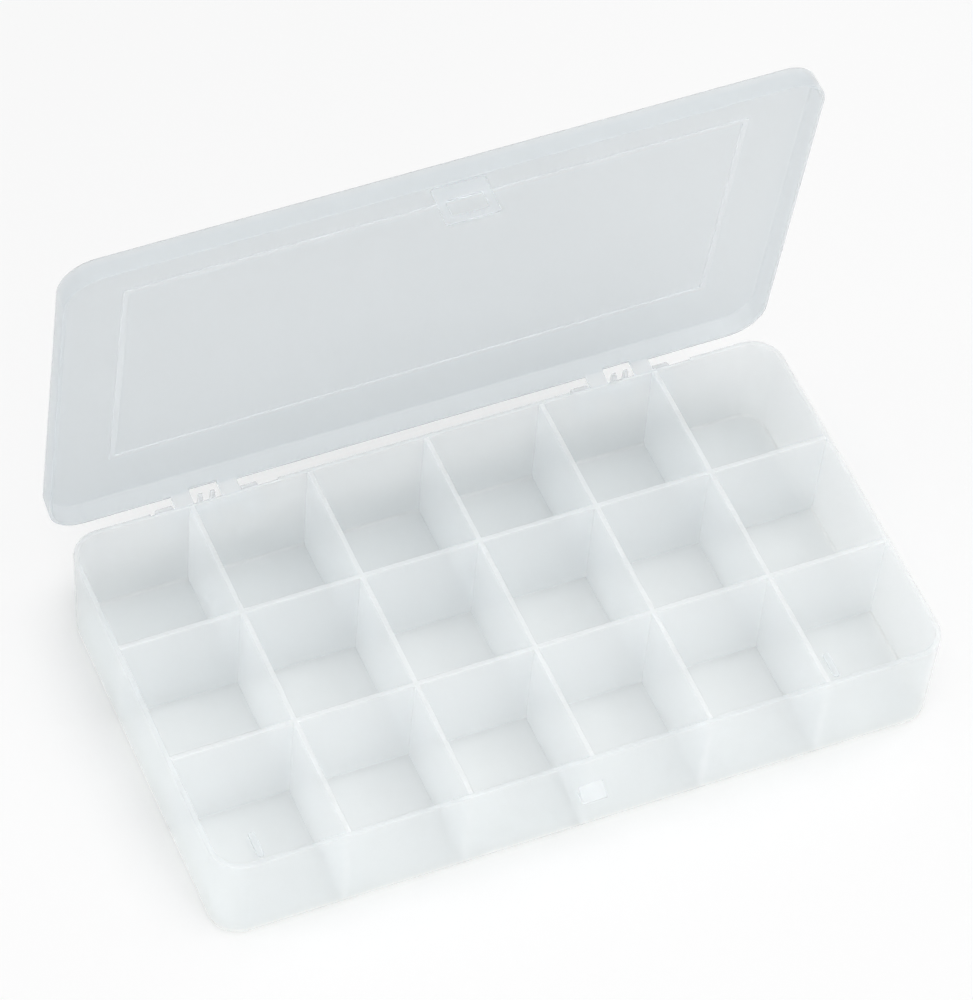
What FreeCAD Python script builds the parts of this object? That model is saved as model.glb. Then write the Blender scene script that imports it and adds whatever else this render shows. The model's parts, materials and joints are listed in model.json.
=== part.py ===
"""Hinged small parts box: a tray of fixed compartments under a shallow cap lid.

The frame has its origin at the middle of the tray's underside, X along the box's length, Y towards
the hinges and Z up. The lid stands open, as far as lid_open says, about the axis of its two hinges.
"""
import FreeCAD
import Part
import Sketcher
import os

# How many compartments the tray has along its length and across it
COLUMNS = 6
ROWS = 3

# Angles, in degrees
QUARTER_TURN = 90
HALF_TURN = 180
THREE_QUARTER_TURN = 270

# How close to a plane an edge has to be to lie on it
ON_PLANE = 1e-6

SIZES = (
    # Grid of compartments
    ("cell_pitch_long", "34.2"),
    ("cell_pitch_cross", "38.0"),
    ("end_margin", "1.8"),
    ("side_margin", "0.9"),
    # Tray shell
    ("tray_height", "31.4"),
    ("floor_thickness", "1.2"),
    ("floor_edge_round", "0.8"),
    ("wall_thickness", "1.5"),
    ("wall_draft", "0.9"),
    ("corner_radius", "9.0"),
    # Dividers, which thicken towards the floor
    ("divider_top", "1.5"),
    ("divider_foot", "1.9"),
    # Low raised pips on the floor of the two front corner compartments
    ("pip_end_margin", "20.4"),
    ("pip_front_margin", "24.8"),
    ("pip_length", "8.3"),
    ("pip_width", "2.0"),
    ("pip_height", "0.5"),
    # Hinge line and the shallow recesses behind it
    ("hinge_share", "0.588"),
    ("hinge_setback", "3.7"),
    ("hinge_drop", "9.48"),
    ("recess_width", "36.8"),
    ("recess_drop", "8.3"),
    ("recess_depth", "0.7"),
    # Cheeks on the tray, one at each end of a hinge bar
    ("cheek_thickness", "4.8"),
    ("cheek_radius", "3.1"),
    # Hinge bar and the two hooks that it turns in
    ("bar_length", "19.0"),
    ("bar_radius", "1.25"),
    ("bar_clearance", "0.1"),
    ("bar_end_clearance", "0.3"),
    ("hook_thickness", "1.3"),
    ("hook_spacing", "3.54"),
    ("hook_wall", "1.25"),
    ("hook_lip", "0.6"),
    ("hook_horn", "4.0"),
    ("hook_barb", "0.3"),
    # Arms from the lid to the bar, with a window between them for the hooks
    ("arm_window", "8.2"),
    ("skirt_notch", "1.0"),
    # Lid
    ("lid_open", "82.8"),
    ("lid_overlap", "4.9"),
    ("lid_gap", "0.65"),
    ("lid_panel", "1.2"),
    ("lid_wall", "1.0"),
    ("lid_clearance", "0.35"),
    ("lid_draft", "0.3"),
    ("lid_edge_round", "0.9"),
    # Raised frame on the inside of the lid's panel
    ("frame_end_margin", "19.25"),
    ("frame_front_margin", "18.4"),
    ("frame_rear_margin", "21.0"),
    ("frame_width", "1.7"),
    ("frame_height", "0.35"),
    # Latch tongue on the lid and its catch on the tray
    ("tongue_width", "15.5"),
    ("tongue_length", "12.0"),
    ("tongue_root_gap", "0.3"),
    ("window_width", "10.0"),
    ("window_drop", "5.0"),
    ("window_height", "4.75"),
    ("catch_width", "7.0"),
    ("catch_reach", "3.6"),
    ("catch_drop", "11.2"),
    ("catch_lip_drop", "13.5"),
    ("catch_under_drop", "14.3"),
    # How far a cutting tool runs past what it cuts
    ("cut_overrun", "1.0"),
)

doc = FreeCAD.newDocument("parts_box")
sheet = doc.addObject("Spreadsheet::Sheet", "Sizes")
for row, (alias, text) in enumerate(SIZES, start=1):
    sheet.set(f"A{row}", alias)
    sheet.set(f"B{row}", text)
    sheet.setAlias(f"B{row}", alias)
doc.recompute()

ORIGIN = FreeCAD.Vector(0, 0, 0)
ALONG_X = FreeCAD.Vector(1, 0, 0)
AGAINST_X = FreeCAD.Vector(-1, 0, 0)
ALONG_Y = FreeCAD.Vector(0, 1, 0)
ALONG_Z = FreeCAD.Vector(0, 0, 1)

# Tray outline, at the rim
HALF_LENGTH = f"({COLUMNS} / 2 * Sizes.cell_pitch_long + Sizes.end_margin)"
HALF_WIDTH = f"({ROWS} / 2 * Sizes.cell_pitch_cross + Sizes.side_margin)"
STRAIGHT_X = f"({HALF_LENGTH} - Sizes.corner_radius)"
STRAIGHT_Y = f"({HALF_WIDTH} - Sizes.corner_radius)"
RIM = "Sizes.tray_height"
FLOOR = "Sizes.floor_thickness"
WALL_HEIGHT = f"({RIM} - {FLOOR})"
# How far the walls stand in at the top of the floor, compared with the rim
FLOOR_INSET = f"(Sizes.wall_draft * {WALL_HEIGHT} / {RIM})"

# Hinges, each a share of the half length from the middle, and their axis in the tray's frame
HINGE_OFFSET = f"(Sizes.hinge_share * {HALF_LENGTH})"
HINGE_Y = f"({HALF_WIDTH} + Sizes.hinge_setback)"
HINGE_Z = f"({RIM} - Sizes.hinge_drop)"

# Lid, in a frame with its origin on the hinge axis and the lid shut
# The skirt is closest to the tray under the panel and leans out towards its own rim
LID_REACH = "(Sizes.lid_clearance + Sizes.lid_draft)"
LID_OVERHANG = f"({LID_REACH} + Sizes.lid_wall)"
LID_RIM = "(Sizes.hinge_drop - Sizes.lid_overlap)"
LID_UNDER = "(Sizes.hinge_drop + Sizes.lid_gap)"
LID_BACK_OUT = f"({LID_OVERHANG} - Sizes.hinge_setback)"
LID_BACK_IN = f"({LID_REACH} - Sizes.hinge_setback)"
LID_FRONT_IN = f"(-2 * {HALF_WIDTH} - {LID_REACH} - Sizes.hinge_setback)"
LID_FRONT_OUT = f"({LID_FRONT_IN} - Sizes.lid_wall)"
LID_SIDE_IN = f"({HALF_LENGTH} + {LID_REACH})"
LID_SIDE_OUT = f"({LID_SIDE_IN} + Sizes.lid_wall)"

nodes = {}


def minus(text):
    """The same length the other way."""
    return f"(-({text}))"


def bind(thing, **expressions):
    """Binds properties to expressions; a double underscore in a name stands for a dot."""
    for name, text in expressions.items():
        thing.setExpression(name.replace("__", "."), text)


def keep(label, thing):
    """Names a finished sub-part."""
    thing.Label = label
    nodes[label] = thing
    return thing


def on_lid(thing, turn=0):
    """Sets a piece that was made in the lid's shut frame on the hinge axis, opened with the lid."""
    thing.Placement = FreeCAD.Placement(ORIGIN, FreeCAD.Rotation(AGAINST_X, sheet.lid_open + turn))
    bind(thing, Placement__Base__y=HINGE_Y, Placement__Base__z=HINGE_Z)
    bind(thing, Placement__Rotation__Angle=f"Sizes.lid_open + {turn}")
    return thing


def drafted(name, low, high, bottom, top):
    """A block with leaning sides: low and high are its x0, x1, y0 and y1 at its bottom and top."""
    block = doc.addObject("Part::Wedge", name)
    block.Placement = FreeCAD.Placement(ORIGIN, FreeCAD.Rotation(ALONG_X, QUARTER_TURN))
    bind(block, Xmin=low[0], Xmax=low[1], Zmin=minus(low[3]), Zmax=minus(low[2]))
    bind(block, X2min=high[0], X2max=high[1], Z2min=minus(high[3]), Z2max=minus(high[2]))
    bind(block, Ymin=bottom, Ymax=top)
    return block


def box(name, span_x, span_y, span_z):
    """A plain block between two planes each way."""
    block = doc.addObject("Part::Box", name)
    bind(block, Placement__Base__x=span_x[0], Length=f"{span_x[1]} - {span_x[0]}")
    bind(block, Placement__Base__y=span_y[0], Width=f"{span_y[1]} - {span_y[0]}")
    bind(block, Placement__Base__z=span_z[0], Height=f"{span_z[1]} - {span_z[0]}")
    return block


def rod(name, radius, start_x, length, centre_y, centre_z):
    """A cylinder along X."""
    piece = doc.addObject("Part::Cylinder", name)
    piece.Placement = FreeCAD.Placement(ORIGIN, FreeCAD.Rotation(ALONG_Y, QUARTER_TURN))
    bind(piece, Radius=radius, Height=length)
    bind(piece, Placement__Base__x=start_x, Placement__Base__y=centre_y, Placement__Base__z=centre_z)
    return piece


def cut(name, base, tool):
    """One solid less another."""
    piece = doc.addObject("Part::Cut", name)
    piece.Base = base
    piece.Tool = tool
    piece.Refine = True
    return piece


def fuse(name, pieces):
    """Several solids as one."""
    piece = doc.addObject("Part::MultiFuse", name)
    piece.Shapes = pieces
    piece.Refine = True
    return piece


def corner_shell(name, centre, bottom, height, low_radius, high_radius, wall, turn):
    """A quarter of a leaning round wall, about a vertical line."""
    outer = doc.addObject("Part::Cone", name + "_outer")
    outer.Angle = QUARTER_TURN
    inner = doc.addObject("Part::Cone", name + "_inner")
    bind(outer, Radius1=low_radius, Radius2=high_radius)
    bind(inner, Radius1=f"{low_radius} - {wall}", Radius2=f"{high_radius} - {wall}")
    for cone in (outer, inner):
        cone.Placement = FreeCAD.Placement(ORIGIN, FreeCAD.Rotation(ALONG_Z, turn))
        bind(cone, Height=height, Placement__Base__x=centre[0])
        bind(cone, Placement__Base__y=centre[1], Placement__Base__z=bottom)
    return cut(name, outer, inner)


def outline_sketch(body, role, points):
    """A closed outline in one of the body's own planes, every corner held by two distances."""
    plane = [feature for feature in body.Origin.OriginFeatures if feature.Role == role][0]
    sketch = body.newObject("Sketcher::SketchObject", body.Name + "_outline")
    sketch.AttachmentSupport = [(plane, "")]
    sketch.MapMode = "FlatFace"
    corners = []
    for across, up in points:
        place = [float(sheet.evalExpression(text)) for text in (across, up)]
        corners.append(FreeCAD.Vector(place[0], place[1], 0))
    count = len(corners)
    for index in range(count):
        sketch.addGeometry(Part.LineSegment(corners[index], corners[(index + 1) % count]), False)
    for index in range(count):
        sketch.addConstraint(Sketcher.Constraint("Coincident", index, 2, (index + 1) % count, 1))
    for index, (across, up) in enumerate(points):
        for kind, text, axis, value in (
            ("DistanceX", across, -2, corners[index].x),
            ("DistanceY", up, -1, corners[index].y),
        ):
            if text == "0":
                sketch.addConstraint(Sketcher.Constraint("PointOnObject", index, 1, axis))
            else:
                held = sketch.addConstraint(Sketcher.Constraint(kind, -1, 1, index, 1, value))
                sketch.setExpression(f"Constraints[{held}]", text)
    return sketch


def plate(name, points, thickness, role="YZ_Plane"):
    """A flat piece: an outline made thick, from its own plane on."""
    body = doc.addObject("PartDesign::Body", name)
    sketch = outline_sketch(body, role, points)
    pad = body.newObject("PartDesign::Pad", name + "_pad")
    pad.Profile = sketch
    bind(pad, Length=thickness)
    doc.recompute()
    return body


def round_edges(body, name, chosen, radius):
    """Rounds the edges of the body's last feature that the test picks."""
    base = body.Tip
    picked = [f"Edge{index}" for index, edge in enumerate(base.Shape.Edges, start=1) if chosen(edge)]
    fillet = body.newObject("PartDesign::Fillet", name)
    fillet.Base = (base, picked)
    bind(fillet, Radius=radius)
    doc.recompute()
    return fillet


def upright(edge):
    """Whether an edge runs along Z."""
    return edge.BoundBox.XLength + edge.BoundBox.YLength < ON_PLANE


def rectangle(x_low, x_high, y_low, y_high):
    """The corners of a rectangle."""
    return [(x_low, y_low), (x_high, y_low), (x_high, y_high), (x_low, y_high)]


# Floor of the tray, with rounded corners and a rounded lower edge
floor_x = f"({HALF_LENGTH} - {FLOOR_INSET})"
floor_y = f"({HALF_WIDTH} - {FLOOR_INSET})"
floor_outline = rectangle(minus(floor_x), floor_x, minus(floor_y), floor_y)
tray_floor = plate("floor_plate", floor_outline, FLOOR, "XY_Plane")
round_edges(tray_floor, "floor_corners", upright, f"Sizes.corner_radius - {FLOOR_INSET}")
round_edges(
    tray_floor,
    "floor_lower_edge",
    lambda edge: edge.BoundBox.ZMax < ON_PLANE,
    "Sizes.floor_edge_round",
)
keep("tray_floor", tray_floor)

# Long walls of the tray, which lean out towards the rim
wall_in_low = f"({HALF_WIDTH} - {FLOOR_INSET} - Sizes.wall_thickness)"
wall_in_high = f"({HALF_WIDTH} - Sizes.wall_thickness)"
straight_low = (minus(STRAIGHT_X), STRAIGHT_X)
front_wall = drafted(
    "front_slab",
    straight_low + (minus(floor_y), minus(wall_in_low)),
    straight_low + (minus(HALF_WIDTH), minus(wall_in_high)),
    FLOOR,
    RIM,
)
keep("front_wall", front_wall)

# The back wall has a shallow recess in its outer face behind each hinge
back_slab = drafted(
    "back_slab",
    straight_low + (wall_in_low, floor_y),
    straight_low + (wall_in_high, HALF_WIDTH),
    FLOOR,
    RIM,
)
recess_y = (f"({HALF_WIDTH} - Sizes.recess_depth)", f"({HALF_WIDTH} + Sizes.cut_overrun)")
recess_z = (f"({RIM} - Sizes.recess_drop)", f"({RIM} + Sizes.cut_overrun)")
back_wall = back_slab
for side, sign in (("left", "-1"), ("right", "1")):
    centre = f"({sign} * {HINGE_OFFSET})"
    span = (f"({centre} - Sizes.recess_width / 2)", f"({centre} + Sizes.recess_width / 2)")
    recess = box(f"recess_{side}", span, recess_y, recess_z)
    back_wall = cut(f"back_wall_{side}", back_wall, recess)
keep("back_wall", back_wall)

# End walls of the tray, each with its two round corners
end_in_low = f"({HALF_LENGTH} - {FLOOR_INSET} - Sizes.wall_thickness)"
end_in_high = f"({HALF_LENGTH} - Sizes.wall_thickness)"
corner_low = f"(Sizes.corner_radius - {FLOOR_INSET})"
across = (minus(STRAIGHT_Y), STRAIGHT_Y)
for side, sign in (("left", -1), ("right", 1)):
    low_x = (minus(floor_x), minus(end_in_low)) if sign < 0 else (end_in_low, floor_x)
    high_x = (minus(HALF_LENGTH), minus(end_in_high)) if sign < 0 else (end_in_high, HALF_LENGTH)
    slab = drafted(f"{side}_slab", low_x + across, high_x + across, FLOOR, RIM)
    centre_x = minus(STRAIGHT_X) if sign < 0 else STRAIGHT_X
    turns = (QUARTER_TURN, HALF_TURN) if sign < 0 else (0, THREE_QUARTER_TURN)
    shells = []
    for place, centre_y, turn in (("back", STRAIGHT_Y, turns[0]), ("front", minus(STRAIGHT_Y), turns[1])):
        shells.append(
            corner_shell(
                f"{side}_{place}_corner",
                (centre_x, centre_y),
                FLOOR,
                WALL_HEIGHT,
                corner_low,
                "Sizes.corner_radius",
                "Sizes.wall_thickness",
                turn,
            )
        )
    keep(f"{side}_end_wall", fuse(f"{side}_end", [slab] + shells))

# Long dividers, from the front wall to the back wall
half_top = "(Sizes.divider_top / 2)"
half_foot = "(Sizes.divider_foot / 2)"
column_lines = [f"({index - COLUMNS / 2} * Sizes.cell_pitch_long)" for index in range(1, COLUMNS)]
for index, line in enumerate(column_lines, start=1):
    divider = drafted(
        f"long_{index}",
        (f"({line} - {half_foot})", f"({line} + {half_foot})", minus(wall_in_low), wall_in_low),
        (f"({line} - {half_top})", f"({line} + {half_top})", minus(wall_in_high), wall_in_high),
        FLOOR,
        RIM,
    )
    keep(f"long_divider_{index}", divider)

# Cross dividers, one panel between each two neighbours along the length
feet = [minus(end_in_low)]
tops = [minus(end_in_high)]
for line in column_lines:
    feet += [f"({line} - {half_foot})", f"({line} + {half_foot})"]
    tops += [f"({line} - {half_top})", f"({line} + {half_top})"]
feet.append(end_in_low)
tops.append(end_in_high)
for place, sign in (("front", "-1"), ("back", "1")):
    line = f"({sign} * Sizes.cell_pitch_cross / 2)"
    low_y = (f"({line} - {half_foot})", f"({line} + {half_foot})")
    high_y = (f"({line} - {half_top})", f"({line} + {half_top})")
    for column in range(COLUMNS):
        start = 2 * column
        panel = drafted(
            f"cross_{place}_{column + 1}",
            (feet[start], feet[start + 1]) + low_y,
            (tops[start], tops[start + 1]) + high_y,
            FLOOR,
            RIM,
        )
        keep(f"{place}_cross_divider_{column + 1}", panel)

# Low pips on the floor, with round ends
pip_z = (FLOOR, f"({FLOOR} + Sizes.pip_height)")
pip_line = f"(Sizes.pip_front_margin - {HALF_WIDTH})"
pip_run = "((Sizes.pip_length - Sizes.pip_width) / 2)"
for side, sign in (("left", "-1"), ("right", "1")):
    centre = f"({sign} * ({HALF_LENGTH} - Sizes.pip_end_margin))"
    span = (f"({centre} - Sizes.pip_width / 2)", f"({centre} + Sizes.pip_width / 2)")
    ends = (f"({pip_line} - {pip_run})", f"({pip_line} + {pip_run})")
    pieces = [box(f"pip_bar_{side}", span, ends, pip_z)]
    for place, end in zip(("front", "back"), ends):
        tip = doc.addObject("Part::Cylinder", f"pip_{place}_{side}")
        bind(tip, Radius="Sizes.pip_width / 2", Height="Sizes.pip_height")
        bind(tip, Placement__Base__x=centre, Placement__Base__y=end, Placement__Base__z=FLOOR)
        pieces.append(tip)
    keep(f"floor_pip_{side}", fuse(f"pip_{side}", pieces))


def wall_face(height):
    """The back wall's outer face at a height over the hinge axis, measured from that axis."""
    return f"(-Sizes.hinge_setback - Sizes.wall_draft * (Sizes.hinge_drop - ({height})) / {RIM})"


# Outline of a cheek: from the recess and the wall below it out to the hinge axis
recess_face = "(-Sizes.hinge_setback - Sizes.recess_depth)"
recess_edge = "(Sizes.hinge_drop - Sizes.recess_drop)"
cheek_outline = [
    (recess_face, "Sizes.cheek_radius"),
    (recess_face, recess_edge),
    (wall_face(recess_edge), recess_edge),
    (wall_face("-Sizes.cheek_radius"), "-Sizes.cheek_radius"),
    ("0", "-Sizes.cheek_radius"),
    ("0", "Sizes.cheek_radius"),
]

# Outline of a hook: it leaves the wall, passes under the bar and rises behind it to a horn
seat = "(Sizes.bar_radius + Sizes.bar_clearance)"
hook_out = f"({seat} + Sizes.hook_wall)"
hook_outline = [
    (wall_face("Sizes.hook_lip"), "Sizes.hook_lip"),
    (wall_face(minus(hook_out)), minus(hook_out)),
    (seat, minus(hook_out)),
    (hook_out, "-Sizes.hook_wall"),
    (hook_out, "Sizes.hook_horn - Sizes.hook_wall"),
    (f"{hook_out} - Sizes.hook_barb", "Sizes.hook_horn"),
    (seat, "Sizes.hook_horn"),
    (f"{seat} - Sizes.hook_barb", "Sizes.bar_radius + Sizes.hook_barb"),
    (seat, "0"),
    (minus(seat), "0"),
    (minus(seat), "Sizes.hook_lip"),
]

# Outline of an arm: down from the lid's rear skirt, then back to the bar
arm_outline = [
    (LID_BACK_IN, LID_RIM),
    (LID_BACK_IN, "0"),
    ("-Sizes.bar_radius", "-Sizes.bar_radius"),
    ("0", "-Sizes.bar_radius"),
    ("0", "Sizes.bar_radius"),
    (LID_BACK_OUT, "Sizes.bar_radius"),
    (LID_BACK_OUT, LID_RIM),
]

half_bar = "(Sizes.bar_length / 2)"
cheek_start = f"({half_bar} + Sizes.bar_end_clearance)"
arm_width = "(Sizes.bar_length / 2 - Sizes.arm_window / 2)"
for side, sign in (("left", "-1"), ("right", "1")):
    centre = f"({sign} * {HINGE_OFFSET})"

    for place, start in (
        ("a", f"({centre} - {cheek_start} - Sizes.cheek_thickness)"),
        ("b", f"({centre} + {cheek_start})"),
    ):
        name = f"cheek_{side}_{place}"
        web = plate(f"{name}_web", cheek_outline, "Sizes.cheek_thickness")
        bind(web, Placement__Base__x=start, Placement__Base__y=HINGE_Y, Placement__Base__z=HINGE_Z)
        nose = rod(f"{name}_nose", "Sizes.cheek_radius", start, "Sizes.cheek_thickness", HINGE_Y, HINGE_Z)
        keep(f"hinge_cheek_{side}_{place}", fuse(name, [web, nose]))

    for place, line in (
        ("a", f"({centre} - Sizes.hook_spacing / 2)"),
        ("b", f"({centre} + Sizes.hook_spacing / 2)"),
    ):
        name = f"hook_{side}_{place}"
        start = f"({line} - Sizes.hook_thickness / 2)"
        blank = plate(f"{name}_blank", hook_outline, "Sizes.hook_thickness")
        bind(blank, Placement__Base__x=start, Placement__Base__y=HINGE_Y, Placement__Base__z=HINGE_Z)
        bore = rod(
            f"{name}_seat",
            seat,
            f"({start} - Sizes.cut_overrun)",
            "Sizes.hook_thickness + 2 * Sizes.cut_overrun",
            HINGE_Y,
            HINGE_Z,
        )
        keep(f"hinge_hook_{side}_{place}", cut(name, blank, bore))

    bar_start = f"({centre} - {half_bar})"
    bar = rod(f"bar_{side}", "Sizes.bar_radius", bar_start, "Sizes.bar_length", HINGE_Y, HINGE_Z)
    keep(f"hinge_bar_{side}", bar)

    for place, start in (("a", f"({centre} - {half_bar})"), ("b", f"({centre} + Sizes.arm_window / 2)")):
        name = f"arm_{side}_{place}"
        blank = plate(f"{name}_blank", arm_outline, arm_width)
        bind(blank, Placement__Base__x=start)
        room = rod(
            f"{name}_room",
            "Sizes.bar_radius",
            f"({start} - Sizes.cut_overrun)",
            f"{arm_width} + 2 * Sizes.cut_overrun",
            "0",
            "0",
        )
        keep(f"hinge_arm_{side}_{place}", on_lid(cut(name, blank, room)))

# Panel of the lid, with rounded corners and a rounded upper edge
panel_x = f"({LID_SIDE_OUT} - Sizes.lid_draft)"
panel_front = f"({LID_FRONT_OUT} + Sizes.lid_draft)"
panel_back = f"({LID_BACK_OUT} - Sizes.lid_draft)"
panel_outline = rectangle(minus(panel_x), panel_x, panel_front, panel_back)
lid_panel = plate("panel_plate", panel_outline, "Sizes.lid_panel", "XY_Plane")
panel_sketch = lid_panel.Group[0]
panel_sketch.setExpression("AttachmentOffset.Base.z", LID_UNDER)
doc.recompute()
round_edges(
    lid_panel,
    "panel_corners",
    upright,
    f"Sizes.corner_radius + {LID_OVERHANG} - Sizes.lid_draft",
)
panel_top = float(sheet.evalExpression(f"{LID_UNDER} + Sizes.lid_panel"))
round_edges(
    lid_panel,
    "panel_upper_edge",
    lambda edge: edge.BoundBox.ZMin > panel_top - ON_PLANE,
    "Sizes.lid_edge_round",
)
keep("lid_panel", on_lid(lid_panel))

# Long skirts of the lid, which lean in towards the panel
front_skirt = drafted(
    "front_skirt_slab",
    straight_low + (LID_FRONT_OUT, LID_FRONT_IN),
    straight_low + (f"({LID_FRONT_OUT} + Sizes.lid_draft)", f"({LID_FRONT_IN} + Sizes.lid_draft)"),
    LID_RIM,
    LID_UNDER,
)
keep("lid_front_skirt", on_lid(front_skirt, THREE_QUARTER_TURN))

# The rear skirt is notched over the hooks
back_skirt = drafted(
    "back_skirt_slab",
    straight_low + (LID_BACK_IN, LID_BACK_OUT),
    straight_low + (f"({LID_BACK_IN} - Sizes.lid_draft)", f"({LID_BACK_OUT} - Sizes.lid_draft)"),
    LID_RIM,
    LID_UNDER,
)
notch_y = (f"({LID_BACK_IN} - Sizes.cut_overrun)", f"({LID_BACK_OUT} + Sizes.cut_overrun)")
notch_z = (f"({LID_RIM} - Sizes.cut_overrun)", f"({LID_RIM} + Sizes.skirt_notch)")
for side, sign in (("left", "-1"), ("right", "1")):
    centre = f"({sign} * {HINGE_OFFSET})"
    span = (f"({centre} - Sizes.arm_window / 2)", f"({centre} + Sizes.arm_window / 2)")
    notch = box(f"notch_{side}", span, notch_y, notch_z)
    back_skirt = cut(f"back_skirt_{side}", back_skirt, notch)
keep("lid_back_skirt", on_lid(back_skirt))

# End skirts of the lid, each with its two round corners
lid_corner = f"(Sizes.corner_radius + {LID_OVERHANG})"
lid_back_line = "(-Sizes.hinge_setback - Sizes.corner_radius)"
lid_front_line = f"(-2 * {HALF_WIDTH} - Sizes.hinge_setback + Sizes.corner_radius)"
lid_across = (lid_front_line, lid_back_line)
side_in_high = f"({LID_SIDE_IN} - Sizes.lid_draft)"
side_out_high = f"({LID_SIDE_OUT} - Sizes.lid_draft)"
for side, sign in (("left", -1), ("right", 1)):
    low_x = (minus(LID_SIDE_OUT), minus(LID_SIDE_IN)) if sign < 0 else (LID_SIDE_IN, LID_SIDE_OUT)
    high_x = (minus(side_out_high), minus(side_in_high)) if sign < 0 else (side_in_high, side_out_high)
    slab = drafted(f"lid_{side}_slab", low_x + lid_across, high_x + lid_across, LID_RIM, LID_UNDER)
    centre_x = minus(STRAIGHT_X) if sign < 0 else STRAIGHT_X
    turns = (QUARTER_TURN, HALF_TURN) if sign < 0 else (0, THREE_QUARTER_TURN)
    shells = []
    for place, centre_y, turn in (("back", lid_back_line, turns[0]), ("front", lid_front_line, turns[1])):
        shells.append(
            corner_shell(
                f"lid_{side}_{place}_corner",
                (centre_x, centre_y),
                LID_RIM,
                f"{LID_UNDER} - {LID_RIM}",
                lid_corner,
                f"({lid_corner} - Sizes.lid_draft)",
                "Sizes.lid_wall",
                turn,
            )
        )
    keep(f"lid_{side}_skirt", on_lid(fuse(f"lid_{side}", [slab] + shells)))

# Raised frame on the inside of the lid's panel
half_frame = "(Sizes.frame_width / 2)"
frame_z = (f"({LID_UNDER} - Sizes.frame_height)", LID_UNDER)
frame_front = f"({LID_FRONT_OUT} + Sizes.frame_front_margin)"
frame_rear = f"({LID_BACK_OUT} - Sizes.frame_rear_margin)"
outer_x = f"({LID_SIDE_OUT} - Sizes.frame_end_margin + {half_frame})"
inner_x = f"({LID_SIDE_OUT} - Sizes.frame_end_margin - {half_frame})"
frame_block = box(
    "frame_block",
    (minus(outer_x), outer_x),
    (f"({frame_front} - {half_frame})", f"({frame_rear} + {half_frame})"),
    frame_z,
)
frame_opening = box(
    "frame_opening",
    (minus(inner_x), inner_x),
    (f"({frame_front} + {half_frame})", f"({frame_rear} - {half_frame})"),
    (f"({frame_z[0]} - Sizes.cut_overrun)", f"({frame_z[1]} + Sizes.cut_overrun)"),
)
keep("lid_frame_rib", on_lid(cut("frame_rib", frame_block, frame_opening)))

# Latch tongue: a plate under the lid's front skirt with a round root and a window for the catch
half_tongue = "(Sizes.tongue_width / 2)"
root_radius = "(Sizes.lid_wall / 2)"
root_y = f"({LID_FRONT_OUT} + {root_radius})"
root_z = f"({LID_RIM} - Sizes.tongue_root_gap - {root_radius})"
tongue_plate = box(
    "tongue_plate",
    (minus(half_tongue), half_tongue),
    (LID_FRONT_OUT, LID_FRONT_IN),
    (f"({LID_RIM} - Sizes.tongue_length)", root_z),
)
tongue_root = rod("tongue_root", root_radius, minus(half_tongue), "Sizes.tongue_width", root_y, root_z)
tongue_window = box(
    "tongue_window",
    ("(-Sizes.window_width / 2)", "(Sizes.window_width / 2)"),
    (f"({LID_FRONT_OUT} - Sizes.cut_overrun)", f"({LID_FRONT_IN} + Sizes.cut_overrun)"),
    (
        f"({LID_RIM} - Sizes.window_drop - Sizes.window_height)",
        f"({LID_RIM} - Sizes.window_drop)",
    ),
)
tongue_blank = fuse("tongue_blank", [tongue_plate, tongue_root])
keep("latch_tongue", on_lid(cut("tongue", tongue_blank, tongue_window)))


def front_face(drop):
    """The front wall's outer face at a depth below the rim."""
    return f"(-({HALF_WIDTH} - Sizes.wall_draft * {drop} / {RIM}))"


# Catch on the front wall: a ramp down to a lip that the tongue's window drops over
catch_out = f"(-({HALF_WIDTH} + Sizes.catch_reach))"
catch_outline = [
    (front_face("Sizes.catch_drop"), f"{RIM} - Sizes.catch_drop"),
    (catch_out, f"{RIM} - Sizes.catch_lip_drop"),
    (catch_out, f"{RIM} - Sizes.catch_under_drop"),
    (front_face("Sizes.catch_under_drop"), f"{RIM} - Sizes.catch_under_drop"),
]
latch_catch = plate("catch", catch_outline, "Sizes.catch_width")
bind(latch_catch, Placement__Base__x="-Sizes.catch_width / 2")
keep("latch_catch", latch_catch)

doc.recompute()

# Every object has to be sound before anything is written
for thing in doc.Objects:
    if "Invalid" in thing.State or "Error" in thing.State:
        raise RuntimeError(f"{thing.Label} did not build: {thing.State}")
for label, thing in nodes.items():
    if thing.Shape.isNull() or not thing.Shape.isValid() or len(thing.Shape.Solids) != 1:
        raise RuntimeError(f"{label} is not one sound solid")

os.makedirs("parts", exist_ok=True)
for label, thing in nodes.items():
    thing.Shape.exportStep(f"parts/{label}.step")
print(f"{len(nodes)} sub-parts written")
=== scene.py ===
"""Looks of a small parts box: a divided tray, a cap lid on two snap hinges and a flexing latch tongue."""
import json
import logging
import math
from dataclasses import dataclass, replace
from enum import Enum

import bmesh
import bpy
from bmesh.types import BMesh, BMVert
from bpy.types import Material, Node, NodeSocket, NodeTree, Object
from mathutils import Euler, Matrix, Vector


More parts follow.
